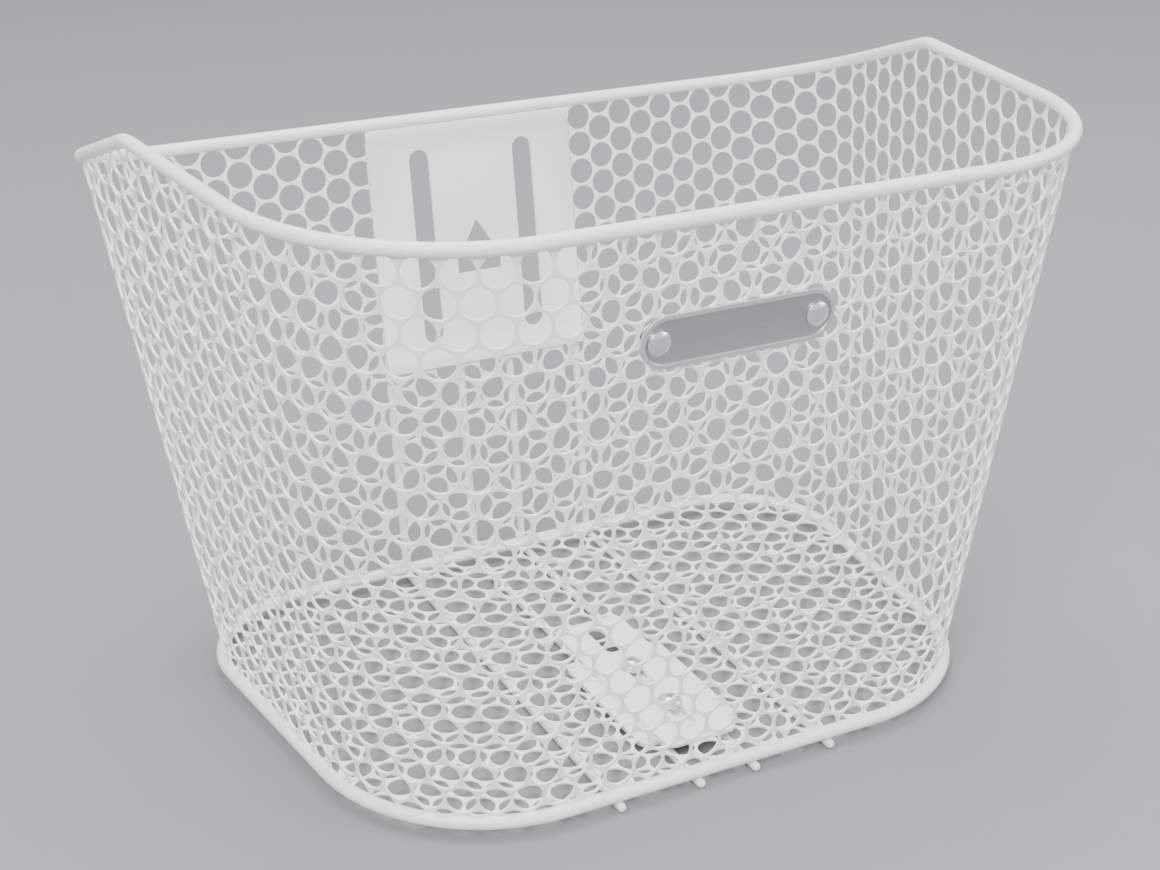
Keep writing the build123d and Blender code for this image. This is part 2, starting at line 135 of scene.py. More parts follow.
def rounded_corner(before, corner, after, radius, steps):
    """Points along the arc that rounds a corner, its two ends among them."""
    to_before = (before - corner).normalized()
    to_after = (after - corner).normalized()
    half_angle = to_before.angle(to_after) / 2
    bisector = (to_before + to_after).normalized()
    centre = corner + bisector * radius / sin(half_angle)
    start = corner + to_before * radius / tan(half_angle) - centre
    end = corner + to_after * radius / tan(half_angle) - centre
    sweep = start.angle(end)
    across = (end - start * cos(sweep)) / sin(sweep)
    points = []
    for i in range(steps + 1):
        angle = sweep * i / steps
        points.append(centre + start * cos(angle) + across * sin(angle))
    return points


RIM_CORNERS = [
    side_point(RIM_BACK_Y, BACK_HEIGHT, -1),
    side_point(RIM_BACK_Y, BACK_HEIGHT),
    side_point(PEAK_Y, PEAK_HEIGHT),
    side_point(RIM_FRONT_Y, FRONT_HEIGHT),
    side_point(RIM_FRONT_Y, FRONT_HEIGHT, -1),
    side_point(PEAK_Y, PEAK_HEIGHT, -1),
]
RIM_RADII = [RIM_BACK_RADIUS] * 2 + [PEAK_RADIUS] + [RIM_FRONT_RADIUS] * 2 + [PEAK_RADIUS]
BASE_CORNERS = [
    side_point(BACK_Y, 0, -1),
    side_point(BACK_Y, 0),
    side_point(FRONT_Y, 0),
    side_point(FRONT_Y, 0, -1),
]
BASE_RADII = [BASE_BACK_RADIUS] * 2 + [BASE_FRONT_RADIUS] * 2


def corner_arcs(corners, radii, steps):
    count = len(corners)
    return [
        rounded_corner(corners[i - 1], corners[i], corners[(i + 1) % count], radii[i], steps)
        for i in range(count)
    ]


RIM_ARCS = corner_arcs(RIM_CORNERS, RIM_RADII, CORNER_STEPS)
BASE_ARCS = corner_arcs(BASE_CORNERS, BASE_RADII, CORNER_STEPS)


# ---------------------------------------------------------------- the wall, laid flat and standing

def wall_lines():
    """Rising lines of the wall, from the seam in the left back corner round to it again."""
    left_back = list(zip(BASE_ARCS[0], RIM_ARCS[0]))
    right_back = list(zip(BASE_ARCS[1], RIM_ARCS[1]))
    right_front = list(zip(BASE_ARCS[2], RIM_ARCS[3]))
    left_front = list(zip(BASE_ARCS[3], RIM_ARCS[4]))
    middle = (Vector((0, BACK_Y, BASE_Z)), Vector((0, RIM_BACK_Y, BASE_Z + BACK_HEIGHT)))
    half = CORNER_STEPS // 2
    lines = left_back[half:] + [middle] + right_back + right_front + left_front
    return lines + left_back[: half + 1], CORNER_STEPS - half + 1


def flat_apex(origin, point, from_origin, from_point, turn):
    run = point - origin
    length = run.length
    along = (from_origin**2 - from_point**2 + length**2) / (2 * length)
    across = sqrt(max(from_origin**2 - along**2, 0))
    run = run / length
    return origin + run * along + Vector((-run.y, run.x)) * across * turn


def unroll(lines, turn):
    low, high = lines[0]
    flat = [(Vector((0, 0)), Vector((0, (high - low).length)))]
    for (low, high), (next_low, next_high) in zip(lines, lines[1:]):
        flat_low, flat_high = flat[-1]
        new_low = flat_apex(
            flat_low, flat_high, (next_low - low).length, (next_low - high).length, turn
        )
        new_high = flat_apex(
            new_low, flat_high, (next_high - next_low).length, (next_high - high).length, turn
        )
        flat.append((new_low, new_high))
    return flat


LINES, MIDDLE = wall_lines()
FLAT = unroll(LINES[MIDDLE::-1], 1)[:0:-1] + unroll(LINES[MIDDLE:], -1)


def strip_normals():
    normals = []
    for (low, high), (next_low, next_high) in zip(LINES, LINES[1:]):
        up = (high - low) + (next_high - next_low)
        across = next_low + next_high - low - high
        normals.append(up.cross(across).normalized())
    line_normals = [normals[0]]
    line_normals += [(a + b).normalized() for a, b in zip(normals, normals[1:])]
    return line_normals + [normals[-1]]


LINE_NORMALS = strip_normals()


def stand_up(flat_points):
    """Places on the standing wall of points on the flat sheet: x and y on it, z outwards from it."""
    out = np.zeros_like(flat_points)
    done = np.zeros(len(flat_points), bool)
    u, v, w = flat_points.T
    last = len(LINES) - 2
    for i in range(last + 1):
        a0, a1 = (np.array(p) for p in FLAT[i])
        b0, b1 = (np.array(p) for p in FLAT[i + 1])
        past_a = (a1[0] - a0[0]) * (v - a0[1]) - (a1[1] - a0[1]) * (u - a0[0]) <= 1e-9
        past_b = (b1[0] - b0[0]) * (v - b0[1]) - (b1[1] - b0[1]) * (u - b0[0]) <= 1e-9
        here = ~done & (past_a | (i == 0)) & (~past_b | (i == last))
        if not here.any():
            continue
        p = np.stack([u[here], v[here]], 1)
        s = np.full(len(p), 0.5)
        t = np.full(len(p), 0.5)
        for _ in range(6):
            low = a0 + (b0 - a0) * s[:, None]
            high = a1 + (b1 - a1) * s[:, None]
            miss = low + (high - low) * t[:, None] - p
            ds = (b0 - a0) + ((b1 - a1) - (b0 - a0)) * t[:, None]
            dt = high - low
            det = ds[:, 0] * dt[:, 1] - ds[:, 1] * dt[:, 0]
            s -= (miss[:, 0] * dt[:, 1] - miss[:, 1] * dt[:, 0]) / det
            t -= (ds[:, 0] * miss[:, 1] - ds[:, 1] * miss[:, 0]) / det
        c0, c1 = (np.array(q) for q in LINES[i])
        d0, d1 = (np.array(q) for q in LINES[i + 1])
        low = c0 + (d0 - c0) * s[:, None]
        high = c1 + (d1 - c1) * s[:, None]
        na, nb = np.array(LINE_NORMALS[i]), np.array(LINE_NORMALS[i + 1])
        normal = na + (nb - na) * s[:, None]
        normal /= np.linalg.norm(normal, axis=1)[:, None]
        out[here] = low + (high - low) * t[:, None] + normal * w[here][:, None]
        done |= here
    return out


def lattice(low, high, column_shift, row_shift):
    column_pitch = PITCH * sqrt(3) / 2
    points = []
    for column in range(
        ceil((low[0] - column_shift) / column_pitch), floor((high[0] - column_shift) / column_pitch) + 1
    ):
        stagger = row_shift + (column % 2) * PITCH / 2
        for row in range(ceil((low[1] - stagger) / PITCH), floor((high[1] - stagger) / PITCH) + 1):
            points.append((column_shift + column * column_pitch, stagger + row * PITCH, 0.0))
    return np.array(points)


# ---------------------------------------------------------------- materials

class Socket:
    """A shader socket that takes arithmetic."""

    def __init__(self, maker, socket):
        self.maker = maker
        self.socket = socket

    def _math(self, operation, *values):
        return self.maker.node("ShaderNodeMath", {"operation": operation}, *values)

    def __add__(self, other):
        return self._math("ADD", self, other)

    def __radd__(self, other):
        return self._math("ADD", other, self)

    def __sub__(self, other):
        return self._math("SUBTRACT", self, other)

    def __rsub__(self, other):
        return self._math("SUBTRACT", other, self)

    def __mul__(self, other):
        return self._math("MULTIPLY", self, other)

    def __rmul__(self, other):
        return self._math("MULTIPLY", other, self)


class Finish:
    """A procedural material and its nodes."""

    def __init__(self, name):
        self.material = bpy.data.materials.new(name)
        self.material.use_nodes = True
        self.tree = self.material.node_tree
        self.shader = self.tree.nodes["Principled BSDF"]
        self.place = self.node("ShaderNodeTexCoord", {}, out="Object")

    def link(self, socket, value):
        if isinstance(value, Socket):
            self.tree.links.new(value.socket, socket)
        else:
            socket.default_value = value

    def node(self, kind, settings=None, *values, out=0, **named):
        """A new node: its settings first, then its inputs by place or by name."""
        node = self.tree.nodes.new(kind)
        for key, value in (settings or {}).items():
            setattr(node, key, value)
        for socket, value in zip(node.inputs, values):
            self.link(socket, value)
        for key, value in named.items():
            self.link(node.inputs[key.replace("_", " ")], value)
        return Socket(self, node.outputs[out])

    def ramp(self, value, low, high, to_low=0.0, to_high=1.0):
        return self.node("ShaderNodeMapRange", {}, value, low, high, to_low, to_high)

    def noise(self, scale, detail=2.0, roughness=0.5):
        return self.node(
            "ShaderNodeTexNoise", {}, Vector=self.place, Scale=scale, Detail=detail, Roughness=roughness
        )

    def blend_colour(self, amount, first, second):
        mix = self.tree.nodes.new("ShaderNodeMix")
        mix.data_type = "RGBA"
        for socket, value in ((mix.inputs[0], amount), (mix.inputs[6], first), (mix.inputs[7], second)):
            self.link(socket, value)
        return Socket(self, mix.outputs[2])

    def set(self, **inputs):
        for key, value in inputs.items():
            self.link(self.shader.inputs[key.replace("_", " ")], value)

    def bump(self, height, strength, distance):
        self.set(Normal=self.node(
            "ShaderNodeBump", {}, Strength=strength, Distance=distance, Height=height, out="Normal"
        ))


def powder_coat(name, shade, grain):
    """White powder coat: fine orange peel, slightly warmer where it lies thin, a little dust."""
    coat = Finish(name)
    peel = coat.noise(900.0 * grain, 3.0, 0.55)
    drift = coat.noise(22.0, 3.0, 0.6)
    dust = coat.ramp(coat.noise(160.0, 4.0, 0.7), 0.56, 0.8)
    white = [c * shade for c in (0.905, 0.905, 0.895)]
    warm = [c * shade for c in (0.86, 0.855, 0.835)]
    grey = [c * shade for c in (0.80, 0.80, 0.79)]
    colour = coat.blend_colour(coat.ramp(drift, 0.4, 0.75, 0.0, 0.5), (*white, 1), (*warm, 1))
    coat.set(
        Base_Color=coat.blend_colour(dust * 0.22, colour, (*grey, 1)),
        Roughness=coat.ramp(peel, 0.3, 0.7, 0.34, 0.44) + drift * 0.04,
        Coat_Weight=coat.ramp(drift, 0.3, 0.8, 0.30, 0.16),
    )
    coat.shader.inputs["Coat Roughness"].default_value = 0.2
    coat.bump(peel, 0.16, 0.00008)
    return coat.material


def plated_steel(name):
    """Bright zinc plate, with faint cloudiness."""
    plate = Finish(name)
    cloud = plate.noise(260.0, 3.0, 0.6)
    fine = plate.noise(2600.0, 2.0, 0.5)
    plate.set(
        Base_Color=plate.blend_colour(cloud, (0.80, 0.81, 0.83, 1), (0.70, 0.71, 0.73, 1)),
        Metallic=1.0,
        Roughness=plate.ramp(cloud, 0.3, 0.7, 0.2, 0.34),
    )
    plate.bump(fine, 0.1, 0.00003)
    return plate.material


def badge_metal(name, light, dark, smooth, rough):
    """Satin aluminium, brushed along the badge."""
    metal = Finish(name)
    stretched = metal.node(
        "ShaderNodeMapping", {"vector_type": "POINT"}, Vector=metal.place, Scale=(60.0, 2600.0, 2600.0)
    )
    brush = metal.node("ShaderNodeTexNoise", {}, Vector=stretched, Scale=1.0, Detail=3.0, Roughness=0.6)
    cloud = metal.noise(90.0, 2.0, 0.5)
    metal.set(
        Base_Color=metal.blend_colour(brush, (*light, 1), (*dark, 1)),
        Metallic=1.0,
        Roughness=metal.ramp(brush + cloud * 0.5, 0.3, 1.1, smooth, rough),
    )
    metal.bump(brush, 0.12, 0.00003)
    return metal.material


MESH_COAT = powder_coat("white powder coat on mesh", 1.0, 1.0)
WIRE_COAT = powder_coat("white powder coat on wire", 0.985, 0.8)
PLATE_COAT = powder_coat("white powder coat on plate", 0.99, 0.7)
ZINC = plated_steel("bright zinc plate")
BADGE_FIELD = badge_metal("satin badge field", (0.50, 0.505, 0.51), (0.42, 0.425, 0.43), 0.38, 0.5)
BADGE_EDGE = badge_metal("bright badge edge", (0.84, 0.845, 0.85), (0.74, 0.745, 0.75), 0.26, 0.36)
RIVET_METAL = badge_metal("polished rivet", (0.88, 0.885, 0.89), (0.80, 0.805, 0.81), 0.18, 0.28)
SLOT_FINISH = {
    "coated_mesh": MESH_COAT,
    "coated_wire": WIRE_COAT,
    "coated_plate": PLATE_COAT,
    "zinc": ZINC,
    "badge": BADGE_FIELD,
    "rivet": RIVET_METAL,
}


# ---------------------------------------------------------------- making pieces

def new_object(name, mesh):
    piece = bpy.data.objects.new(name, mesh)
    bpy.context.scene.collection.objects.link(piece)
    return piece


def smooth(mesh, angle):
    """Smooth shading, with edges sharper than an angle kept crisp."""
    work = bmesh.new()
    work.from_mesh(mesh)
    for face in work.faces:
        face.smooth = True
    for edge in work.edges:
        edge.smooth = len(edge.link_faces) == 2 and edge.calc_face_angle(pi) < angle
    work.to_mesh(mesh)
    work.free()


def take(name, mesh, slot_name, *nodes, materials=None, angle=radians(38)):
    """A finished piece from a mesh in metres: smoothed, painted, riding on the basket."""
    smooth(mesh, angle)
    mesh.materials.clear()
    for material in materials or [SLOT_FINISH[slot_name]]:
        mesh.materials.append(material)
    mesh.polygons.foreach_set("material_index", [0] * len(mesh.polygons))
    piece = new_object(name, mesh)
    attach(piece, "root")
    if nodes:
        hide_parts(*nodes)
    return piece


def tube_mesh(name, points, radius, closed, sides=20, round_ends=False):
    """A wire along points in millimetres."""
    work = bmesh.new()
    count = len(points)
    rings = []
    tangents = []
    for i in range(count):
        before = points[i - 1] if closed or i > 0 else points[i]
        after = points[(i + 1) % count] if closed or i < count - 1 else points[i]
        tangents.append((after - before).normalized())
    normal = tangents[0].orthogonal().normalized()
    profile = [(points[i], tangents[i], radius) for i in range(count)]
    if round_ends:
        dome = [(sin(a), cos(a)) for a in (radians(80), radians(60), radians(40), radians(20))]
        start = [(points[0] - tangents[0] * radius * s, tangents[0], radius * c) for s, c in dome]
        end = [(points[-1] + tangents[-1] * radius * s, tangents[-1], radius * c) for s, c in dome]
        profile = start + profile + end[::-1]
    for centre, tangent, r in profile:
        normal = (normal - tangent * normal.dot(tangent)).normalized()
        side = tangent.cross(normal)
        rings.append([
            work.verts.new(
                (centre + (normal * cos(2 * pi * k / sides) + side * sin(2 * pi * k / sides)) * r) * MM
            )
            for k in range(sides)
        ])
    spans = list(zip(rings, rings[1:]))
    if closed:
        first = min(range(sides), key=lambda k: (rings[0][k].co - rings[-1][0].co).length)
        spans.append((rings[-1], rings[0][first:] + rings[0][:first]))
    for ring, next_ring in spans:
        for k in range(sides):
            work.faces.new((ring[k], ring[(k + 1) % sides], next_ring[(k + 1) % sides], next_ring[k]))
    if not closed:
        work.faces.new(rings[0][::-1])
        work.faces.new(rings[-1])
    bmesh.ops.recalc_face_normals(work, faces=work.faces)
    mesh = bpy.data.meshes.new(name)
    work.to_mesh(mesh)
    work.free()
    return mesh


def softened(name, node, width, slot_name, segments=3, materials=None, angle=radians(38)):
    """A CAD piece with its sharp edges rounded over, as pressed and coated metal is."""
    work = bmesh.new()
    work.from_mesh(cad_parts[node].data)
    bmesh.ops.remove_doubles(work, verts=work.verts, dist=0.000004)
    bmesh.ops.dissolve_limit(
        work, angle_limit=radians(1.0), verts=work.verts, edges=work.edges, use_dissolve_boundaries=False
    )
    sharp = [e for e in work.edges if len(e.link_faces) == 2 and e.calc_face_angle(0) > radians(40)]
    bmesh.ops.bevel(
        work, geom=sharp, offset=width * MM, segments=segments, profile=0.5, affect="EDGES",
        clamp_overlap=True,
    )
    bmesh.ops.triangulate(work, faces=[f for f in work.faces if len(f.verts) > 4])
    mesh = bpy.data.meshes.new(name)
    work.to_mesh(mesh)
    work.free()
    return take(name, mesh, slot_name, node, materials=materials, angle=angle)


# ---------------------------------------------------------------- perforated sheet

def punched_tile():
    """One hexagon of the sheet with its hole, whose edges are rolled over."""
    work = bmesh.new()
    half = SHEET / 2
    r = HOLE_D / 2
    around = 24
    profile = [(None, half), (r + HOLE_EDGE, half), (r, half - HOLE_EDGE)]
    profile += [(r, HOLE_EDGE - half), (r + HOLE_EDGE, -half), (None, -half)]
    rings = []
    for radius, level in profile:
        ring = []
        for k in range(around):
            angle = 2 * pi * k / around
            reach = radius
            if radius is None:
                reach = PITCH / 2 / cos(angle % (pi / 3) - pi / 6)
            ring.append(work.verts.new((reach * cos(angle), reach * sin(angle), level)))
        rings.append(ring)
    for ring, next_ring in zip(rings, rings[1:]):
        for k in range(around):
            work.faces.new((ring[k], next_ring[k], next_ring[(k + 1) % around], ring[(k + 1) % around]))
    bmesh.ops.recalc_face_normals(work, faces=work.faces)
    mesh = bpy.data.meshes.new("punched tile")
    work.to_mesh(mesh)
    work.free()
    return new_object("punched tile", mesh)


def perforating_nodes():
    """Geometry nodes that put one tile on every point and join them into one sheet."""
    tree = bpy.data.node_groups.new("perforated sheet", "GeometryNodeTree")
    tree.interface.new_socket("Centres", in_out="INPUT", socket_type="NodeSocketGeometry")
    tree.interface.new_socket("Tile", in_out="INPUT", socket_type="NodeSocketObject")
    tree.interface.new_socket("Join Distance", in_out="INPUT", socket_type="NodeSocketFloat")
    tree.interface.new_socket("Finish", in_out="INPUT", socket_type="NodeSocketMaterial")
    tree.interface.new_socket("Sheet", in_out="OUTPUT", socket_type="NodeSocketGeometry")
    nodes, links = tree.nodes, tree.links
    given = nodes.new("NodeGroupInput")
    result = nodes.new("NodeGroupOutput")
    points = nodes.new("GeometryNodeMeshToPoints")
    tile = nodes.new("GeometryNodeObjectInfo")
    place = nodes.new("GeometryNodeInstanceOnPoints")
    real = nodes.new("GeometryNodeRealizeInstances")
    join = nodes.new("GeometryNodeMergeByDistance")
    paint = nodes.new("GeometryNodeSetMaterial")
    links.new(given.outputs["Centres"], points.inputs["Mesh"])
    links.new(given.outputs["Tile"], tile.inputs["Object"])
    links.new(points.outputs["Points"], place.inputs["Points"])
    links.new(tile.outputs["Geometry"], place.inputs["Instance"])
    links.new(place.outputs["Instances"], real.inputs["Geometry"])
    links.new(real.outputs["Geometry"], join.inputs["Geometry"])
    links.new(given.outputs["Join Distance"], join.inputs["Distance"])
    links.new(join.outputs["Geometry"], paint.inputs["Geometry"])
    links.new(given.outputs["Finish"], paint.inputs["Material"])
    links.new(paint.outputs["Geometry"], result.inputs["Sheet"])
    return tree


TILE = punched_tile()
PERFORATE = perforating_nodes()


def perforated(name, centres):
    """A flat perforated sheet with a hole on every centre, in millimetres, as an editable mesh."""
    mesh = bpy.data.meshes.new(name + " centres")
    mesh.from_pydata([tuple(c) for c in centres], [], [])
    holder = new_object(name + " centres", mesh)
    modifier = holder.modifiers.new("perforated sheet", "NODES")
    modifier.node_group = PERFORATE
    values = {"Tile": TILE, "Join Distance": 0.02, "Finish": MESH_COAT}
    for item in PERFORATE.interface.items_tree:
        if item.in_out == "INPUT" and item.name in values:
            modifier[item.identifier] = values[item.name]
    depsgraph = bpy.context.evaluated_depsgraph_get()
    made = bpy.data.meshes.new_from_object(holder.evaluated_get(depsgraph), depsgraph=depsgraph)
    holder.modifiers.remove(modifier)
    bpy.data.objects.remove(holder)
    work = bmesh.new()
    work.from_mesh(made)
    bpy.data.meshes.remove(made)
    return work


def cut(work, point, outward):
    """Cuts away what lies beyond a plane and closes the cut."""
    geometry = work.verts[:] + work.edges[:] + work.faces[:]
    bmesh.ops.bisect_plane(
        work, geom=geometry, dist=1e-5, plane_co=point, plane_no=outward, clear_outer=True
    )
    rims = [e for e in work.edges if len(e.link_faces) == 1]
    on_cut = [
        e for e in rims if all(abs((v.co - point).dot(outward)) < 1e-3 for v in e.verts)
    ]
    bmesh.ops.holes_fill(work, edges=on_cut, sides=0)


def solid_mesh(work, name):
    """The finished mesh in metres. Whatever the cuts left loose is dropped."""
    loose = [v for v in work.verts if not v.link_faces]
    bmesh.ops.delete(work, geom=loose, context="VERTS")
    bmesh.ops.triangulate(work, faces=[f for f in work.faces if len(f.verts) > 4])
    bmesh.ops.recalc_face_normals(work, faces=work.faces)
    mesh = bpy.data.meshes.new(name)
    work.to_mesh(mesh)
    work.free()
    mesh.transform(Matrix.Scale(MM, 4))
    return mesh


def flat_side(point, line):
    (ax, ay), (bx, by) = line
    return (bx - ax) * (point[1] - ay) - (by - ay) * (point[0] - ax)


def line_cut(work, line, sign):
    """Cuts the flat sheet along a rising line; sign 1 keeps what lies after the line."""
    low, high = line
    run = (high - low).normalized()
    outward = Vector((-run.y, run.x, 0)) * sign
    cut(work, Vector((low.x, low.y, 0)), outward)


def rim_planes():
    """The rim wire's two planes: the level one in front of the raised points, the falling one behind."""
    front = Vector((0, RIM_FRONT_Y, BASE_Z + FRONT_HEIGHT))
    peak = Vector((0, PEAK_Y, BASE_Z + PEAK_HEIGHT))
    back = Vector((0, RIM_BACK_Y, BASE_Z + BACK_HEIGHT))
    rise = (peak - front).normalized()
    fall = (back - peak).normalized()
    across = Vector((1, 0, 0))
    return [(front, across.cross(rise)), (peak, across.cross(fall))]


def wall_piece(name, first, last, nodes, window=False):
    """One stretch of the perforated wall between two of its rising lines."""
    flat = FLAT[first : last + 1]
    us = [p.x for line in flat for p in line]
    vs = [p.y for line in flat for p in line]
    centres = lattice(
        (min(us) - PITCH, min(vs) - PITCH), (max(us) + PITCH, max(vs) + PITCH),
        WALL_COLUMN_SHIFT, WALL_ROW_SHIFT,
    )
    reach = PITCH
    kept = []
    places = stand_up(centres)
    for centre, place in zip(centres, places):
        from_first = flat_side(centre, flat[0]) / (flat[0][1] - flat[0][0]).length
        from_last = flat_side(centre, flat[-1]) / (flat[-1][1] - flat[-1][0]).length
        if from_first > reach or from_last < -reach:
            continue
        above = max((Vector(place) - p).dot(n) for p, n in rim_planes())
        if above > reach or place[2] < BASE_Z - reach:
            continue
        kept.append(centre)
    work = perforated(name, kept)
    line_cut(work, flat[0], 1)
    line_cut(work, flat[-1], -1)
    co = np.array([v.co for v in work.verts])
    standing = stand_up(co)
    for vert, place in zip(work.verts, standing):
        vert.co = place
    for point, normal in rim_planes():
        cut(work, point, normal)
    cut(work, Vector((0, 0, BASE_Z + 0.3)), Vector((0, 0, -1)))
    if window:
        window_cut(work)
    mesh = solid_mesh(work, name)
    return take(name, mesh, "coated_mesh", *nodes)


def window_cut(work):
    """Opens the back wall where the mounting plate stands level with it."""
    up = Vector((0, sin(BACK_LEAN), cos(BACK_LEAN)))
    foot = Vector((0, BACK_Y, BASE_Z)) + up * WINDOW_LOW
    planes = [
        (foot, up),
        (Vector((-WINDOW_HALF, 0, 0)), Vector((1, 0, 0))),
        (Vector((WINDOW_HALF, 0, 0)), Vector((-1, 0, 0))),
    ]
    for point, normal in planes:
        geometry = work.verts[:] + work.edges[:] + work.faces[:]
        bmesh.ops.bisect_plane(work, geom=geometry, dist=1e-5, plane_co=point, plane_no=normal)
    inside = [
        f for f in work.faces
        if abs(f.calc_center_median().x) < WINDOW_HALF
        and (f.calc_center_median() - foot).dot(up) > 0
        and f.calc_center_median().y > 0
    ]
    bmesh.ops.delete(work, geom=inside, context="FACES")
    rims = [e for e in work.edges if len(e.link_faces) == 1]
    for point, normal in planes:
        on_cut = [
            e for e in rims
            if e.is_valid and all(abs((v.co - point).dot(normal)) < 1e-3 for v in e.verts)
        ]
        bmesh.ops.holes_fill(work, edges=on_cut, sides=0)


def make_wall():
    """The rolled wall in four stretches, each standing for the CAD panels that it covers."""
    half = CORNER_STEPS // 2
    back_right = MIDDLE + 1
    right_front = back_right + CORNER_STEPS + 1
    left_front = right_front + CORNER_STEPS + 1
    last = len(LINES) - 1
    back_nodes = ["wall_back_left", "wall_back_right", "wall_back_lower"]
    back_nodes += [f"wall_corner_back_left_{i}" for i in (3, 4)]
    back_nodes += [f"wall_corner_back_right_{i}" for i in (1, 2)]
    right_nodes = ["wall_right"] + [f"wall_corner_back_right_{i}" for i in (3, 4)]
    right_nodes += [f"wall_corner_front_right_{i}" for i in (1, 2)]
    front_nodes = ["wall_front"] + [f"wall_corner_front_right_{i}" for i in (3, 4)]
    front_nodes += [f"wall_corner_front_left_{i}" for i in (1, 2)]
    left_nodes = ["wall_left"] + [f"wall_corner_front_left_{i}" for i in (3, 4)]
    left_nodes += [f"wall_corner_back_left_{i}" for i in (1, 2)]
    wall_piece("wall_back_mesh", 0, back_right + half, back_nodes, window=True)
    wall_piece("wall_right_mesh", back_right + half, right_front + half, right_nodes)
    wall_piece("wall_front_mesh", right_front + half, left_front + half, front_nodes)
    wall_piece("wall_left_mesh", left_front + half, last, left_nodes)


def edge_planes(outline, centre):
    """A point and the outward normal of each edge of the bottom's outline."""
    for a, b in zip(outline, outline[1:] + outline[:1]):
        run = b - a
        if run.length < SHORTEST_EDGE:
            continue
        normal = Vector((run.y, -run.x, 0)).normalized()
        if normal.dot(centre - a) > 0:
            normal.negate()
        yield a, normal


def make_bottom():
    """The perforated bottom, its edge running to the middle of the base ring's inner side."""
    outline = [p for arc in BASE_ARCS for p in arc]
    centre = Vector((0, (FRONT_Y + BACK_Y) / 2, BASE_Z))
    low = (-BASE_BACK_WIDTH / 2 - PITCH, FRONT_Y - PITCH)
    high = (BASE_BACK_WIDTH / 2 + PITCH, BACK_Y + PITCH)
    centres = lattice(low, high, BASE_COLUMN_SHIFT, BASE_ROW_SHIFT)
    planes = list(edge_planes(outline, centre))

    def beyond(point):
        """How far a point lies outside the outline."""
        return max(normal.dot(point - a) for a, normal in planes)

    reach = PITCH * OUTER_HOLE_SHARE
    kept = [c for c in centres if beyond(Vector((c[0], c[1], BASE_Z))) < reach]
    work = perforated("bottom", kept)
    for vert in work.verts:
        vert.co.z += BASE_Z
    for a, normal in planes:
        cut(work, a + normal * (RING_OFFSET - RING_WIRE_D / 2 + RING_SEAT), normal)
    mesh = solid_mesh(work, "bottom_mesh")
    take("bottom_mesh", mesh, "coated_mesh", "bottom_sheet")


# ---------------------------------------------------------------- wires

def rim_path():
    return [p for arc in corner_arcs(RIM_CORNERS, RIM_RADII, WIRE_ARC_STEPS) for p in arc]


def ring_path():
    corners = [Vector((p.x, p.y, BASE_Z)) for p in BASE_CORNERS]
    points = [p for arc in corner_arcs(corners, BASE_RADII, WIRE_ARC_STEPS) for p in arc]
    centre = Vector((0, (FRONT_Y + BACK_Y) / 2, BASE_Z))
    grown = []
    count = len(points)
    for i, point in enumerate(points):
        run = points[(i + 1) % count] - points[i - 1]
        normal = Vector((run.y, -run.x, 0)).normalized()
        if normal.dot(point - centre) < 0:
            normal.negate()
        grown.append(point + normal * RING_OFFSET)
    return grown


def support_path(x):
    """Down the back of the mounting plate, round under the base ring and forward beneath it."""
    radius = BASE_Z - SUPPORT_WIRE_D / 2
    inward = Vector((0, -cos(BACK_LEAN), sin(BACK_LEAN)))
    up = Vector((0, sin(BACK_LEAN), cos(BACK_LEAN)))
    top = Vector((x, BACK_Y, BASE_Z)) + up * SUPPORT_TOP - inward * (PLATE_SHEET + SUPPORT_WIRE_D) / 2
    bend = Vector((x, BACK_Y + RING_OFFSET + radius / cos(BACK_LEAN), SUPPORT_WIRE_D / 2))
    end = Vector((x, FRONT_Y - RING_OFFSET - SUPPORT_END, SUPPORT_WIRE_D / 2))
    return [top] + rounded_corner(top, bend, end, radius, BEND_STEPS) + [end]


def make_wires():
    rim = tube_mesh("rim_wire_tube", rim_path(), RIM_WIRE_D / 2, True, RIM_SIDES)
    take("rim_wire_tube", rim, "coated_wire", "rim_wire")
    ring = tube_mesh("base_ring_tube", ring_path(), RING_WIRE_D / 2, True, RING_SIDES)
    take("base_ring_tube", ring, "coated_wire", "base_ring")
    for index, x in enumerate(SUPPORT_X):
        name = f"support_wire_{index + 1}_tube"
        mesh = tube_mesh(name, support_path(x), SUPPORT_WIRE_D / 2, False, SUPPORT_SIDES, round_ends=True)
        take(name, mesh, "coated_wire", f"support_wire_{index + 1}")


# ---------------------------------------------------------------- plates, bolts and badge

def make_fittings():
    softened("mounting_plate_pressed", "mounting_plate", 0.4, "coated_plate")
    softened("clamp_plate_pressed", "clamp_plate", 0.4, "coated_plate")
    softened("backing_plate_pressed", "backing_plate", 0.4, "coated_plate")
    softened("clamp_bolts_turned", "clamp_bolts", 0.25, "zinc")
    softened("clamp_washers_turned", "clamp_washers", 0.15, "zinc")
    softened("clamp_nuts_turned", "clamp_nuts", 0.2, "zinc")
    softened("badge_rivets_domed", "badge_rivets", 0.12, "rivet")
    softened("rivet_backs_domed", "rivet_backs", 0.25, "rivet")
    badge = softened(
        "badge_pressed", "badge", 0.2, "badge", materials=[BADGE_EDGE, BADGE_FIELD]
    )
    low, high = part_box("badge")
    out = Vector((0, -cos(FRONT_LEAN), -sin(FRONT_LEAN)))
    depths = [v.co.dot(out) for v in badge.data.vertices]
    face_level = max(depths) - BADGE_RIM * MM
    back_level = min(depths) + BADGE_BACK * MM
    for polygon in badge.data.polygons:
        level = polygon.center.dot(out)
        if polygon.normal.dot(out) > 0.9 and back_level < level < face_level:
            polygon.material_index = 1


# ---------------------------------------------------------------- floor, lights and camera

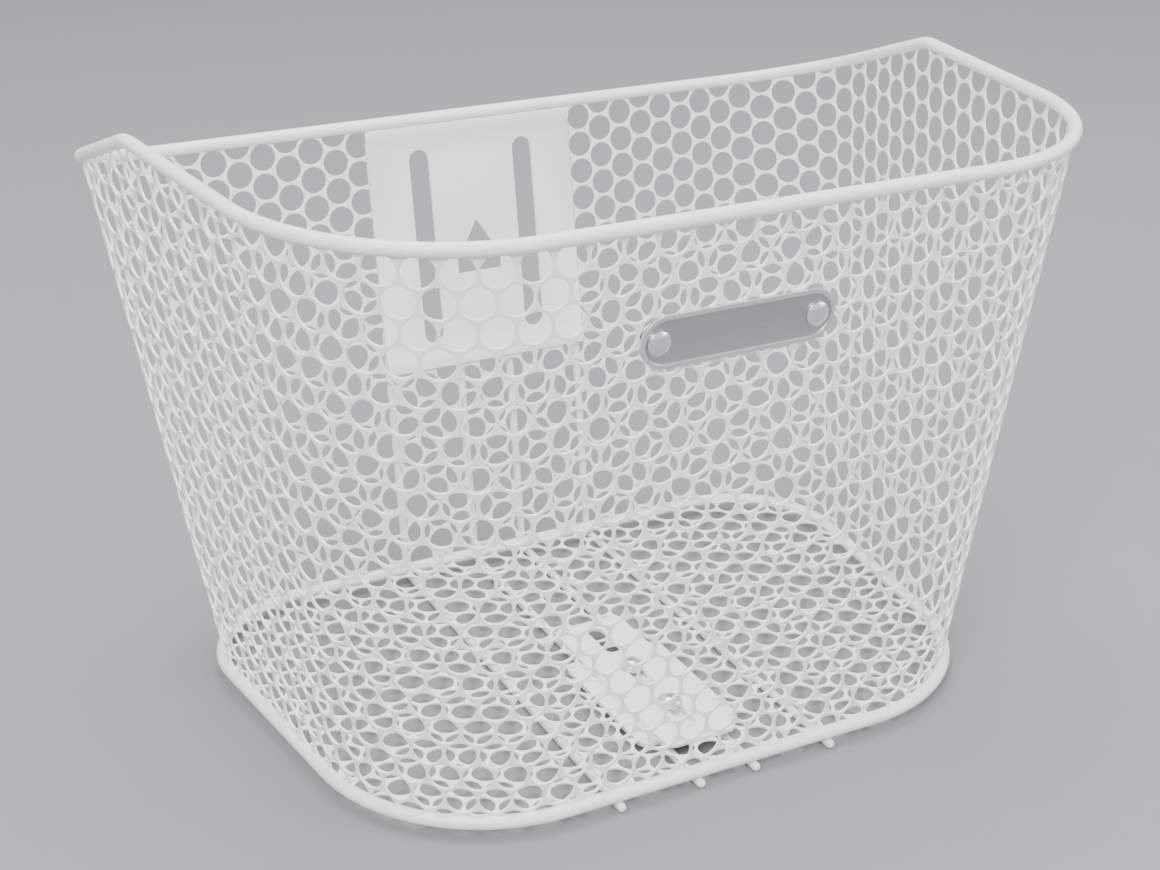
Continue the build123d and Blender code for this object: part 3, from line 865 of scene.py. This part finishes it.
def studio():
    mesh = bpy.data.meshes.new("floor")
    mesh.from_pydata([(-6, -6, 0), (6, -6, 0), (6, 6, 0), (-6, 6, 0)], [], [(0, 1, 2, 3)])
    floor = new_object("floor", mesh)
    surface = Finish("pale studio floor")
    speckle = surface.noise(40.0, 2.0, 0.5)
    surface.set(
        Base_Color=surface.blend_colour(speckle, (0.235, 0.24, 0.245, 1), (0.25, 0.255, 0.26, 1)),
        Roughness=surface.ramp(speckle, 0.3, 0.7, 0.7, 0.8),
    )
    mesh.materials.append(surface.material)
    floor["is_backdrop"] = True
    world = bpy.data.worlds.new("studio air")
    bpy.context.scene.world = world
    world.use_nodes = True
    background = world.node_tree.nodes["Background"]
    background.inputs["Color"].default_value = (0.93, 0.95, 1.0, 1)
    background.inputs["Strength"].default_value = 1.1

    def softbox(name, place, target, size, power, colour):
        light = bpy.data.lights.new(name, "AREA")
        light.shape = "RECTANGLE"
        light.size, light.size_y = size
        light.energy = power
        light.color = colour
        lamp = bpy.data.objects.new(name, light)
        bpy.context.scene.collection.objects.link(lamp)
        lamp.location = place
        aim = Vector(target) - Vector(place)
        lamp.rotation_euler = aim.to_track_quat("-Z", "Y").to_euler()

    softbox("key softbox", (-1.1, -1.2, 1.5), (0, 0, 0.1), (0.8, 0.8), 48.0, (1.0, 0.985, 0.96))
    softbox("fill softbox", (1.5, -0.9, 1.0), (0, 0, 0.1), (1.4, 1.0), 22.0, (0.95, 0.975, 1.0))
    softbox("top softbox", (0.1, 0.3, 1.9), (0, 0, 0.1), (1.0, 1.0), 34.0, (1.0, 1.0, 1.0))


def camera():
    """Stands left of the front corner, looking down on the basket."""
    data = bpy.data.cameras.new("camera")
    data.sensor_width = SENSOR_WIDTH
    data.lens = LENS
    eye = bpy.data.objects.new("camera", data)
    bpy.context.scene.collection.objects.link(eye)
    forward = Vector(LOOKING).normalized()
    right = Vector(RIGHTWARD)
    right = (right - forward * right.dot(forward)).normalized()
    up = right.cross(forward)
    turn = Matrix((right, up, -forward)).transposed()
    eye.matrix_world = Matrix.Translation(STANDPOINT) @ turn.to_4x4()
    bpy.context.scene.camera = eye


make_wall()
make_bottom()
make_wires()
make_fittings()
bpy.data.objects.remove(TILE)
studio()
camera()

plain = [[list(corner) for corner in box] for box in (cad_box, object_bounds())]
